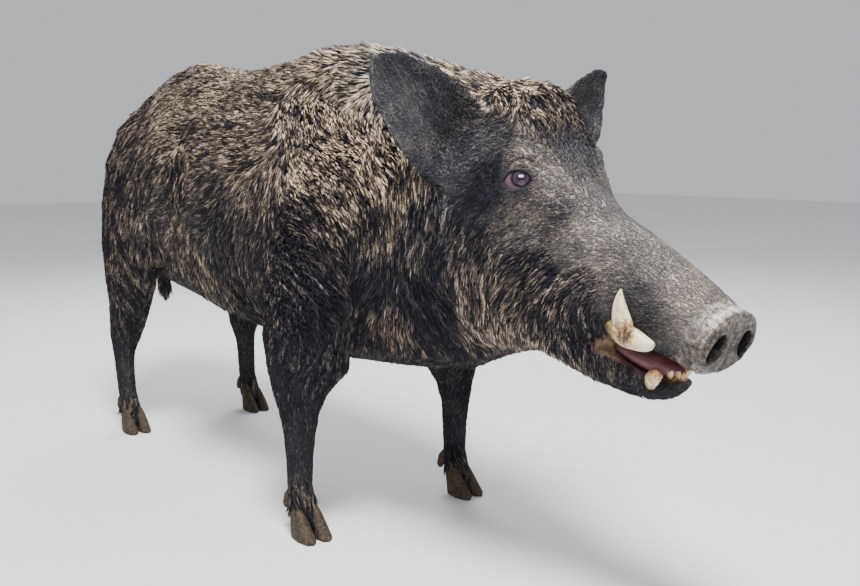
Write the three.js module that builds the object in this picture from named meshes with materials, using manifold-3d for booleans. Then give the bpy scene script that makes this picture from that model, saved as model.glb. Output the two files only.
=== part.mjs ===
// An adult male wild boar (Sus scrofa) standing square, life size.
// Millimetres, +Z up. The boar faces +X, its left side is +Y, and its right side is -Y.
// Shapes are laid out from the ground point between the two fore feet. The finished group then moves along X.
//
// The flesh is lofted through sections, joined into one body and parted by thin cuts.
// A section is the ring through two points on the middle plane, a and b, each [x, z]. It is widest at the share
// `wide` of the way from b to a, where it reaches `half` to each side.

import * as THREE from "three";
import { mergeVertices } from "three/addons/utils/BufferGeometryUtils.js";
import Module from "manifold-3d";

const wasm = await Module();
wasm.setup();

// Driving dimensions.
const FORE_TRACK = 176; // from the middle plane to the middle of a fore foot
const HIND_TRACK = 161;
const HIND_FOOT_X = -818;
const WITHERS_TOP = 868; // to the tips of the mane
const CUT = 0.6; // width of the thin cuts between the parts
const FAR = 2000; // further than any part reaches
const SLIVER = 0.2; // detail this small, left along the cuts, is dropped
const SEAM = 1; // and this small where trunk, legs and head run into one another
const EYE = { x: 418, y: 79, z: 627, radius: 15 };
const MOUTH_CORNER = [526, 428];

// ---- shape tools ----

// Value at t (0 to 1) of the smooth curve through evenly spaced numbers.
function along(values, t) {
  const last = values.length - 1;
  const at = Math.min(t * last, last - 1e-9);
  const i = Math.floor(at);
  const before = values[Math.max(i - 1, 0)];
  const after = values[Math.min(i + 2, last)];
  const u = at - i;
  const [p, q] = [values[i], values[i + 1]];
  const slopeP = (q - before) / 2;
  const slopeQ = (after - p) / 2;
  return (
    p * (2 * u ** 3 - 3 * u ** 2 + 1) +
    slopeP * (u ** 3 - 2 * u ** 2 + u) +
    q * (3 * u ** 2 - 2 * u ** 3) +
    slopeQ * (u ** 3 - u ** 2)
  );
}

const power = (value, exponent) => Math.sign(value) * Math.abs(value) ** exponent;

// A closed skin through sections, made by bending a capped cylinder along them.
// y is a section's own place across the body; right and left are its half widths, and half sets both.
// squareA and squareB shape the halves towards a and b: 2 is an ellipse, less is peaked and more is boxy.
// grow makes the whole skin that much bigger on every side.
function loft(sections, { around = 24, steps = 3, grow = 0 } = {}) {
  const full = sections.map((s, i) => {
    const a = new THREE.Vector2(...s.a);
    const b = new THREE.Vector2(...s.b);
    const spread = a.clone().sub(b).setLength(grow);
    const onward = new THREE.Vector2();
    const neighbour = sections[i === 0 ? 1 : i - 1];
    if (i === 0 || i === sections.length - 1) {
      onward.subVectors(a, new THREE.Vector2(...neighbour.a)).setLength(grow);
    }
    a.add(spread).add(onward);
    b.sub(spread).add(onward);
    return {
      ax: a.x,
      az: a.y,
      bx: b.x,
      bz: b.y,
      y: s.y ?? 0,
      right: (s.right ?? s.half) + grow,
      left: (s.left ?? s.half) + grow,
      wide: s.wide ?? 0.5,
      squareA: s.squareA ?? 2,
      squareB: s.squareB ?? 2,
    };
  });
  const rows = (sections.length - 1) * steps;
  const geometry = new THREE.CylinderGeometry(1, 1, 1, around, rows, false);
  const position = geometry.getAttribute("position");
  const read = (name, t) => along(full.map((s) => s[name]), t);
  for (let i = 0; i < position.count; i++) {
    const t = position.getY(i) + 0.5;
    const side = position.getX(i);
    const rise = position.getZ(i);
    const square = rise > 0 ? read("squareA", t) : read("squareB", t);
    const across = power(side, 2 / square);
    const lift = power(rise, 2 / square);
    const wide = read("wide", t);
    const share = wide + lift * (lift > 0 ? 1 - wide : wide);
    const [ax, az, bx, bz] = ["ax", "az", "bx", "bz"].map((name) => read(name, t));
    const reach = across > 0 ? read("right", t) : read("left", t);
    position.setXYZ(i, bx + (ax - bx) * share, read("y", t) - across * reach, bz + (az - bz) * share);
  }
  return geometry;
}

// A closed geometry as a manifold-3d solid. One that was built inside out is turned round.
function solid(geometry) {
  const bare = geometry.clone();
  bare.deleteAttribute("normal");
  bare.deleteAttribute("uv");
  const merged = mergeVertices(bare, 1e-3);
  const build = (triVerts) =>
    new wasm.Manifold(
      new wasm.Mesh({ numProp: 3, vertProperties: merged.getAttribute("position").array, triVerts }),
    );
  const faces = new Uint32Array(merged.index.array);
  const made = build(faces);
  return made.volume() > 0 ? made : build(faces.reverse());
}

const join = (...solids) => solids.reduce((whole, next) => whole.add(next));
const mirrored = (shape) => shape.mirror([0, 1, 0]);

// A solid back as a three.js mesh.
function mesh(name, shape, material) {
  const data = shape.simplify(SLIVER).getMesh();
  const places = new Float32Array(data.numVert * 3);
  for (let i = 0; i < data.numVert; i++) {
    places.set(data.vertProperties.subarray(i * data.numProp, i * data.numProp + 3), i * 3);
  }
  const geometry = new THREE.BufferGeometry();
  geometry.setAttribute("position", new THREE.BufferAttribute(places, 3));
  geometry.setIndex(new THREE.BufferAttribute(data.triVerts, 1));
  geometry.computeVertexNormals();
  const made = new THREE.Mesh(geometry, material);
  made.name = name;
  return made;
}

// The block over an outline in the XZ plane, from y = low to y = high.
function block(outline, low, high) {
  const corners = () => outline.map(([x, z]) => new THREE.Vector2(x, z));
  const shape = outline instanceof THREE.Shape ? outline : new THREE.Shape(corners());
  const options = { depth: high - low, bevelEnabled: false, curveSegments: 7 };
  const geometry = new THREE.ExtrudeGeometry(shape, options);
  geometry.rotateX(Math.PI / 2);
  geometry.translate(0, high, 0);
  return solid(geometry);
}

// All space on the forward side of the line from `low` to `high`, moved forward by `shift`.
function ahead(low, high, shift = 0) {
  const slope = (high[0] - low[0]) / (high[1] - low[1]);
  const at = (z) => low[0] + slope * (z - low[1]) + shift;
  return block([[at(-FAR), -FAR], [FAR, -FAR], [FAR, FAR], [at(FAR), FAR]], -FAR, FAR);
}

// ---- the body ----

function trunkAndNeck(grow = 0) {
  return solid(
    loft(
      [
        { a: [-1008, 640], b: [-1006, 545], half: 34 },
        { a: [-996, 708], b: [-996, 470], half: 90 },
        { a: [-962, 778], b: [-962, 408], half: 131, squareA: 1.85 },
        { a: [-900, 826], b: [-900, 362], half: 150, squareA: 1.75 },
        { a: [-800, 861], b: [-800, 339], half: 162, wide: 0.48, squareA: 1.7 },
        { a: [-700, 872], b: [-700, 328], half: 168, wide: 0.48, squareA: 1.7 },
        { a: [-590, 853], b: [-590, 316], half: 174, wide: 0.47, squareA: 1.75 },
        { a: [-460, 838], b: [-460, 302], half: 182, wide: 0.46, squareA: 1.8 },
        { a: [-310, 846], b: [-310, 292], half: 188, wide: 0.46, squareA: 1.8 },
        { a: [-160, 864], b: [-160, 286], half: 188, wide: 0.47, squareA: 1.7 },
        { a: [-40, WITHERS_TOP - 9], b: [-40, 286], half: 182, wide: 0.47, squareA: 1.7 },
        { a: [60, 838], b: [60, 293], half: 170, wide: 0.48, squareA: 1.7 },
        { a: [165, 809], b: [150, 303], half: 155, squareA: 1.8 },
        { a: [265, 787], b: [235, 318], half: 141, squareA: 1.8 },
        { a: [345, 764], b: [305, 352], half: 122, squareA: 1.8 },
        { a: [385, 700], b: [350, 430], half: 90 },
      ],
      { around: 22, steps: 1, grow },
    ),
  );
}

// A right leg's section at height z: how far it reaches forward, back, out and in from (x, y).
const legSection = (z, x, y, [forward, back, out, inward], tilt = 0) => ({
  a: [x - back, z + tilt],
  b: [x + forward, z - tilt],
  y: -y,
  right: out,
  left: inward,
  wide: forward / (forward + back),
});

function foreLeg(grow = 0) {
  const y = FORE_TRACK;
  const sections = [
    legSection(30, -12, y, [27, 24, 25, 25]),
    legSection(54, -22, y, [25, 25, 24, 24]),
    legSection(92, -26, y + 1, [22, 24, 22, 22]),
    legSection(138, -26, y + 1, [24, 25, 24, 24]),
    legSection(184, -24, y + 1, [29, 29, 28, 28]),
    legSection(222, -25, y - 1, [38, 43, 36, 34]),
    legSection(256, -28, y - 6, [56, 65, 45, 47]),
    legSection(296, -34, y - 16, [84, 94, 55, 80]),
    legSection(345, -42, y - 27, [98, 116, 61, 80]),
    legSection(425, -46, y - 42, [108, 116, 67, 72]),
    legSection(525, -62, y - 62, [112, 120, 76, 70]),
    legSection(630, -92, y - 82, [92, 100, 74, 60]),
    legSection(710, -112, y - 100, [50, 56, 50, 40]),
  ];
  return solid(loft(sections, { around: 12, steps: 1, grow }));
}

function hindLeg(grow = 0) {
  const x = HIND_FOOT_X;
  const y = HIND_TRACK;
  const sections = [
    legSection(30, x - 14, y, [27, 24, 24, 24]),
    legSection(54, x - 27, y, [25, 25, 24, 24]),
    legSection(92, x - 40, y + 1, [23, 19, 21, 21]),
    legSection(145, x - 47, y + 2, [26, 17, 22, 22]),
    legSection(178, x - 49, y + 2, [30, 20, 24, 24]),
    legSection(201, x - 48, y, [36, 32, 28, 28]),
    legSection(228, x - 42, y - 2, [48, 50, 33, 34]),
    legSection(264, x - 32, y - 6, [62, 62, 39, 38]),
    legSection(312, x - 28, y - 11, [78, 76, 44, 44]),
    legSection(372, x - 32, y - 16, [112, 98, 50, 52]),
    legSection(450, x - 40, y - 24, [140, 122, 56, 56]),
    legSection(550, x - 42, y - 37, [155, 138, 60, 64]),
    legSection(650, x - 44, y - 53, [145, 128, 60, 60]),
    legSection(728, x - 42, y - 72, [102, 97, 48, 46]),
    legSection(772, x - 44, y - 90, [50, 50, 26, 30]),
  ];
  return solid(loft(sections, { around: 12, steps: 1, grow }));
}

// The skull, cheeks and upper jaw, down to the upper lip.
function upperHead(grow = 0) {
  return solid(
    loft(
      [
        { a: [312, 778], b: [232, 348], half: 116, wide: 0.48 },
        { a: [354, 768], b: [268, 346], half: 122, wide: 0.45, squareA: 1.8 },
        { a: [399, 761], b: [304, 352], half: 122, wide: 0.42, squareA: 1.75 },
        { a: [437, 697], b: [338, 362], half: 119, wide: 0.4, squareA: 2.1 },
        { a: [473, 631], b: [382, 372], half: 107, wide: 0.38, squareA: 2 },
        { a: [515, 590], b: [436, 378], half: 91, wide: 0.38, squareA: 1.85 },
        { a: [560, 566], b: [498, 392], half: 76, wide: 0.4 },
        { a: [602, 543], b: [556, 415], half: 64, wide: 0.42, squareB: 2.6 },
        { a: [645, 518], b: [608, 410], half: 56, wide: 0.42, squareB: 2.8 },
        { a: [684, 494], b: [648, 396], half: 51, wide: 0.45, squareB: 2.6 },
        { a: [706, 477], b: [672, 386], half: 47, wide: 0.48, squareB: 2.3 },
      ],
      { around: 18, steps: 2, grow },
    ),
  );
}

function lowerJaw() {
  return solid(
    loft(
      [
        { a: [440, 480], b: [408, 385], half: 84, wide: 0.4 },
        { a: [486, 455], b: [458, 369], half: 76, wide: 0.45 },
        { a: [528, 428], b: [512, 351], half: 61, wide: 0.55 },
        { a: [570, 397], b: [560, 341], half: 46, wide: 0.6, squareA: 3 },
        { a: [598, 382], b: [594, 339], half: 38, wide: 0.6, squareA: 3 },
        { a: [620, 377], b: [622, 345], half: 32, wide: 0.6, squareA: 3 },
        { a: [636, 377], b: [638, 358], half: 22, wide: 0.6 },
        { a: [643, 376], b: [645, 367], half: 11, wide: 0.6 },
      ],
      { around: 14, steps: 1 },
    ),
  );
}

// The flat disc of the snout, with two nostrils sunk in it.
const DISC = { top: [721, 473], bottom: [687, 390], half: 50, depth: 24 };

function snoutDisc(grow = 0) {
  const { top, bottom, half, depth } = DISC;
  const length = Math.hypot(top[0] - bottom[0], top[1] - bottom[1]);
  const up = [(top[0] - bottom[0]) / length, (top[1] - bottom[1]) / length];
  const out = [up[1], -up[0]];
  const ring = (shift, grow, width) => ({
    a: [0, 1].map((i) => top[i] + out[i] * shift + up[i] * grow),
    b: [0, 1].map((i) => bottom[i] + out[i] * shift - up[i] * grow),
    half: half + width,
    squareA: 1.9,
    squareB: 1.8,
  });
  const rings = [ring(-depth, -4, -4), ring(-8, 0, 0), ring(0, 1, 1), ring(4, -5, -5)];
  const disc = solid(loft(rings, { around: 16, steps: 1, grow }));
  if (grow > 0) return disc;
  const nostril = new THREE.SphereGeometry(1, 8, 6);
  nostril.scale(26, 9, 19);
  nostril.rotateX(0.35);
  nostril.rotateY(Math.atan2(-out[1], out[0]));
  const middle = [0, 1].map((i) => (top[i] + bottom[i]) / 2 + out[i] * 2 - i * 2);
  nostril.translate(middle[0], -24, middle[1]);
  const hole = solid(nostril);
  return disc.subtract(hole).subtract(mirrored(hole));
}

// The right ear: a leaf between two edges, hollow towards the front, from its root in the head to its tip.
const EAR = {
  innerEdge: [
    [332, -56, 722],
    [330, -90, 751],
    [322, -138, 777],
    [311, -186, 794],
    [299, -216, 797],
    [290, -233, 787],
  ],
  outerEdge: [
    [292, -112, 604],
    [306, -172, 632],
    [303, -213, 682],
    [291, -230, 722],
    [287, -238, 752],
    [288, -237, 778],
  ],
  facing: [0.954, -0.275, -0.123],
  hollow: [34, 34, 30, 22, 12, 2],
  thickness: 5,
};

function ear() {
  const geometry = new THREE.CylinderGeometry(1, 1, 1, 10, 7, false);
  const position = geometry.getAttribute("position");
  const face = new THREE.Vector3(...EAR.facing);
  const edgePoint = (edge, t) =>
    new THREE.Vector3(...[0, 1, 2].map((i) => along(edge.map((p) => p[i]), t)));
  for (let i = 0; i < position.count; i++) {
    const t = position.getY(i) + 0.5;
    const side = position.getX(i);
    const depth = position.getZ(i) * EAR.thickness - along(EAR.hollow, t) * (1 - side ** 2);
    const place = edgePoint(EAR.innerEdge, t)
      .lerp(edgePoint(EAR.outerEdge, t), (1 + side) / 2)
      .addScaledVector(face, depth);
    position.setXYZ(i, place.x, place.y, place.z);
  }
  return solid(geometry).subtract(upperHead(CUT)).subtract(trunkAndNeck(CUT));
}

function tail(grow = 0) {
  return solid(
    loft(
      [
        { a: [-968, 780], b: [-968, 740], half: 14 },
        { a: [-1008, 764], b: [-1000, 724], half: 18 },
        { a: [-1036, 722], b: [-1012, 700], half: 16 },
        { a: [-1040, 640], b: [-1015, 636], half: 13 },
        { a: [-1032, 540], b: [-1010, 538], half: 11 },
        { a: [-1020, 450], b: [-998, 448], half: 12 },
        { a: [-1012, 380], b: [-980, 378], half: 17 },
        { a: [-1004, 320], b: [-974, 320], half: 17 },
        { a: [-994, 296], b: [-984, 296], half: 5 },
      ],
      { around: 8, steps: 1, grow },
    ),
  );
}

// ---- hooves, eyes, teeth ----

// One claw of the right foot at x, its middle `side` from the foot's middle, in a hoof's wedge.
function claw(x, y, side, grow = 0) {
  const across = { y: -y - side, wide: 0.45, squareA: 2.3, squareB: 2.3 };
  const sections = [
    { a: [x - 31, 0], b: [x + 35, 0], half: 13, ...across },
    { a: [x - 32, 5], b: [x + 36, 5], half: 14.5, ...across },
    { a: [x - 33, 24], b: [x + 18, 24], half: 13.5, ...across },
    { a: [x - 34, 42], b: [x + 2, 42], half: 10.5, ...across },
    { a: [x - 30, 54], b: [x - 8, 54], half: 6, ...across },
  ];
  return solid(loft(sections, { around: 8, steps: 1, grow }));
}

// A dew claw hanging behind the right fetlock.
function dewClaw(x, y, z, side, grow = 0) {
  const sections = [
    { a: [x - 13, z - 14], b: [x - 5, z - 16], y: -y - side, half: 4 },
    { a: [x - 17, z - 6], b: [x + 2, z - 8], y: -y - side, half: 7 },
    { a: [x - 13, z + 12], b: [x + 8, z + 8], y: -y - side * 0.9, half: 8 },
    { a: [x - 2, z + 24], b: [x + 12, z + 22], y: -y - side * 0.8, half: 6 },
  ];
  return solid(loft(sections, { around: 6, steps: 1, grow }));
}

function eye(grow = 0) {
  const ball = new THREE.SphereGeometry(EYE.radius + grow, 10, 7);
  ball.translate(EYE.x, -EYE.y, EYE.z);
  return solid(ball);
}

// The right tusk of the upper jaw: a stout crescent along the lip with the worn point standing up from it.
function upperTusk(grow = 0) {
  const crescent = loft(
    [
      { a: [560, 446], b: [563, 439], y: -64, half: 3 },
      { a: [574, 450], b: [578, 430], y: -68, half: 8 },
      { a: [602, 446], b: [604, 419], y: -71, half: 10 },
      { a: [628, 436], b: [627, 414], y: -70, half: 9 },
      { a: [641, 428], b: [640, 417], y: -67, half: 5 },
    ],
    { around: 8, steps: 1, grow },
  );
  const point = loft(
    [
      { a: [576, 430], b: [624, 428], y: -71, half: 9 },
      { a: [577, 448], b: [616, 446], y: -73, half: 9 },
      { a: [580, 466], b: [607, 464], y: -75, half: 8 },
      { a: [583, 482], b: [599, 481], y: -75, half: 5 },
      { a: [589, 495], b: [592, 495], y: -74, half: 1.2 },
    ],
    { around: 8, steps: 1, grow },
  );
  return join(solid(crescent), solid(point));
}

// The stub of the right lower canine.
function lowerCanine(grow = 0) {
  return solid(
    loft(
      [
        { a: [618, 366], b: [634, 366], y: -29, half: 6 },
        { a: [616, 378], b: [636, 376], y: -31, half: 8 },
        { a: [618, 390], b: [638, 386], y: -33, half: 7 },
        { a: [624, 396], b: [634, 394], y: -34, half: 3 },
      ],
      { around: 8, steps: 1, grow },
    ),
  );
}

// Six lower incisors in a row, joined to their gum.
function lowerIncisors(grow = 0) {
  const gum = loft(
    [
      { a: [602, 384], b: [602, 368], half: 18 },
      { a: [620, 385], b: [620, 368], half: 18 },
      { a: [634, 385], b: [636, 371], half: 13 },
      { a: [641, 384], b: [643, 376], half: 7 },
    ],
    { around: 10, steps: 1, grow },
  );
  const row = [-2.5, -1.5, -0.5, 0.5, 1.5, 2.5].map((place) => {
    const y = place * 5.8;
    const x = 640 - place ** 2 * 1.7;
    const sections = [
      { a: [x - 10, 380], b: [x - 1, 377], y, half: 2.4 },
      { a: [x - 5, 389], b: [x + 5, 387], y: y * 1.05, half: 2.7 },
      { a: [x + 1, 396], b: [x + 6, 395], y: y * 1.08, half: 2.2 },
    ];
    return solid(loft(sections, { around: 5, steps: 1, grow }));
  });
  return join(solid(gum), ...row);
}

function tongue(grow = 0) {
  const sections = [
    { a: [500, 426], b: [496, 410], half: 14 },
    { a: [540, 421], b: [534, 396], half: 26 },
    { a: [580, 411], b: [576, 382], half: 29 },
    { a: [604, 406], b: [600, 376], half: 26 },
    { a: [619, 399], b: [614, 380], half: 15 },
  ];
  return solid(loft(sections, { around: 10, steps: 1, grow }));
}

// ---- assembly ----

const materials = {
  coat: new THREE.MeshStandardMaterial({ color: 0x4a4037, roughness: 0.9, metalness: 0 }),
  snout: new THREE.MeshStandardMaterial({ color: 0x6f6963, roughness: 0.6, metalness: 0 }),
  hoof: new THREE.MeshStandardMaterial({ color: 0x3a342e, roughness: 0.55, metalness: 0 }),
  ivory: new THREE.MeshStandardMaterial({ color: 0xd8cba6, roughness: 0.35, metalness: 0 }),
  eye: new THREE.MeshStandardMaterial({ color: 0x3a2a3c, roughness: 0.1, metalness: 0 }),
  mouth: new THREE.MeshStandardMaterial({ color: 0x8a4a4a, roughness: 0.5, metalness: 0 }),
};

const boar = new THREE.Group();
const add = (name, shape, material) => boar.add(mesh(name, shape, material));
const addPair = (name, right, material) => {
  add(`${name}_right`, right, material);
  add(`${name}_left`, mirrored(right), material);
};

// Lines on the middle plane along which the neck is parted from the trunk and the head from the neck.
const NECK_CUT = [[95, 280], [105, 860]];
const HEAD_CUT = [[250, 330], [262, 800]];

// The lower jaw's space: below the mouth and ahead of its corner.
function jawSpace(gap) {
  const [x, z] = MOUTH_CORNER;
  return block(
    [
      [x - 4 - gap, z + gap],
      [x - 70 - gap, 300],
      [760, 300],
      [760, 368 + gap],
      [645, 386 + gap],
      [600, 397 + gap],
      [x + 30, 412 + gap],
    ],
    -FAR,
    FAR,
  );
}

// A right leg, down from the arc over its muscles, outside the body's inner flesh.
function legUnder(leg, { x, z, radius, inner }) {
  return (grow) => {
    const r = radius + grow;
    const outline = new THREE.Shape();
    outline.moveTo(x + r, z);
    outline.absarc(x, z, r, 0, Math.PI, false);
    outline.lineTo(x - r, -60);
    outline.lineTo(x + r, -60);
    return leg(grow).intersect(block(outline, -FAR, -inner + grow));
  };
}

const foreLimb = legUnder(foreLeg, { x: -50, z: 400, radius: 108, inner: 70 });
const hindLimb = legUnder(hindLeg, { x: -862, z: 560, radius: 140, inner: 66 });
const CARPUS_Z = 190;
const HOCK_Z = 214;

// What stands in the flesh. Each is a function of how much it is grown.
const pair = (make) => (grow) => join(make(grow), mirrored(make(grow)));
const feet = {
  foreclaw_outer: (grow) => claw(4, FORE_TRACK, 15.5, grow),
  foreclaw_inner: (grow) => claw(6, FORE_TRACK, -15.5, grow),
  foredewclaw_outer: (grow) => dewClaw(-44, FORE_TRACK, 58, 14, grow),
  foredewclaw_inner: (grow) => dewClaw(-44, FORE_TRACK, 58, -14, grow),
  hindclaw_outer: (grow) => claw(HIND_FOOT_X + 2, HIND_TRACK, 15.5, grow),
  hindclaw_inner: (grow) => claw(HIND_FOOT_X + 4, HIND_TRACK, -15.5, grow),
  hinddewclaw_outer: (grow) => dewClaw(HIND_FOOT_X - 50, HIND_TRACK, 62, 14, grow),
  hinddewclaw_inner: (grow) => dewClaw(HIND_FOOT_X - 50, HIND_TRACK, 62, -14, grow),
};

// A solid less what stands in it, with the thin cut round that.
const clear = (shape, ...others) => others.reduce((left, other) => left.subtract(other(CUT)), shape);

const flesh = [trunkAndNeck(), pair(foreLeg)(0), pair(hindLeg)(0), upperHead(), lowerJaw()];
const body = join(...flesh).simplify(SEAM);
const torso = clear(body, pair(foreLimb), pair(hindLimb));
const headAndJaw = torso.intersect(ahead(...HEAD_CUT, CUT));
const neck = torso.intersect(ahead(...NECK_CUT, CUT)).subtract(ahead(...HEAD_CUT));
const trunk = torso.subtract(ahead(...NECK_CUT));
const head = headAndJaw.subtract(jawSpace(CUT));
const jaw = headAndJaw.intersect(jawSpace(0));

add("trunk", clear(trunk, tail), materials.coat);
add("neck", neck, materials.coat);
add("head", clear(head, snoutDisc, pair(eye), pair(upperTusk), tongue), materials.coat);
add("lower_jaw", clear(jaw, lowerIncisors, pair(lowerCanine), tongue), materials.coat);
add("snout_disc", snoutDisc(), materials.snout);
add("tongue", clear(tongue(), lowerIncisors, pair(lowerCanine)), materials.mouth);
add("lower_incisors", clear(lowerIncisors(), pair(lowerCanine)), materials.ivory);
add("tail", tail(), materials.coat);
addPair("ear", ear(), materials.coat);
addPair("eye", eye(), materials.eye);
addPair("upper_tusk", upperTusk(), materials.ivory);
addPair("lower_canine", lowerCanine(), materials.ivory);

const above = (z) => block([[-FAR, z], [FAR, z], [FAR, FAR], [-FAR, FAR]], -FAR, FAR);
for (const [kind, limb, joint] of [
  ["fore", foreLimb, CARPUS_Z],
  ["hind", hindLimb, HOCK_Z],
]) {
  const claws = Object.entries(feet).filter(([name]) => name.startsWith(kind));
  const leg = clear(limb(0), ...claws.map(([, make]) => make));
  addPair(`${kind}leg_upper`, leg.intersect(above(joint + CUT)), materials.coat);
  addPair(`${kind}leg_lower`, leg.subtract(above(joint)), materials.coat);
  for (const [name, make] of claws) addPair(name, make(0), materials.hoof);
}

// The origin moves to the middle of the space the boar takes up, on the ground.
const { min, max } = new THREE.Box3().setFromObject(boar);
boar.position.x = -(min.x + max.x) / 2;

export default boar;
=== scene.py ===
"""A life-size wild boar: one skin in place of the solid flesh, a coat of tufts, eyes, tusks, teeth, hooves.

Places are in metres from the ground point between the fore feet: x forward, y out to either side, z up. FORE
is where that point lies in the frame. Both sides of the boar are alike, so a named place's y has no sign.
"""

import math

import bmesh
import bpy
import numpy as np
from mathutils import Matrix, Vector
from mathutils.kdtree import KDTree


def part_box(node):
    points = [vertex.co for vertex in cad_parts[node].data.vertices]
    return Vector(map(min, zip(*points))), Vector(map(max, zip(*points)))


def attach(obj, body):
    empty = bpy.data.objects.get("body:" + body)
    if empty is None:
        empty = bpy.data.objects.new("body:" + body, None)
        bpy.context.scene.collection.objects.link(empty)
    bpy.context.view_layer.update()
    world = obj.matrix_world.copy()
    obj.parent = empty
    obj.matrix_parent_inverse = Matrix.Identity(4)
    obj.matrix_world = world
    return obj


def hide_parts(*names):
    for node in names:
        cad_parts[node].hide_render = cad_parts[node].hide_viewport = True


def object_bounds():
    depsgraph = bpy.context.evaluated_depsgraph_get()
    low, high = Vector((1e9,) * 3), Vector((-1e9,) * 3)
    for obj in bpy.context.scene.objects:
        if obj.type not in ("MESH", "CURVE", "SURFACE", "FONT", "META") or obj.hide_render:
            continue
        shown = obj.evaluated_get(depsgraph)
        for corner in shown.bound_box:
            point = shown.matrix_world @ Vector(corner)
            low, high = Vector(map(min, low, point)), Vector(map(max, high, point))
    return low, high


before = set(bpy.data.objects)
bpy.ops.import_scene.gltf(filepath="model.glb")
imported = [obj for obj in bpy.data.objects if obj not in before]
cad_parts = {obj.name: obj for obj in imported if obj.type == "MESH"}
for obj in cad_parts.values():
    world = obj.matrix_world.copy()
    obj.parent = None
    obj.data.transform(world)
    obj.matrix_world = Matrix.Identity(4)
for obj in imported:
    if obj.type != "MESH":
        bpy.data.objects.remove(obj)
CAD_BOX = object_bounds()

MM = 0.001
BALL_MIDDLE = (0.418, 0.079, 0.627)  # of the solid eye
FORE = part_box("eye_right")[0].lerp(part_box("eye_right")[1], 0.5).x - BALL_MIDDLE[0]
LOWEST = np.array(CAD_BOX[0]) - (FORE, 0, 0)
HIGHEST = np.array(CAD_BOX[1]) - (FORE, 0, 0)
CAMERA = {"place": (1.3714, -1.0068, 0.6608), "yaw": 141.255, "pitch": -8.233, "lens": 40.0}
SIDES = {"right": -1, "left": 1}  # the sign of y there
VOXEL = 6.5 * MM  # of the skin's first mesh

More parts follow.
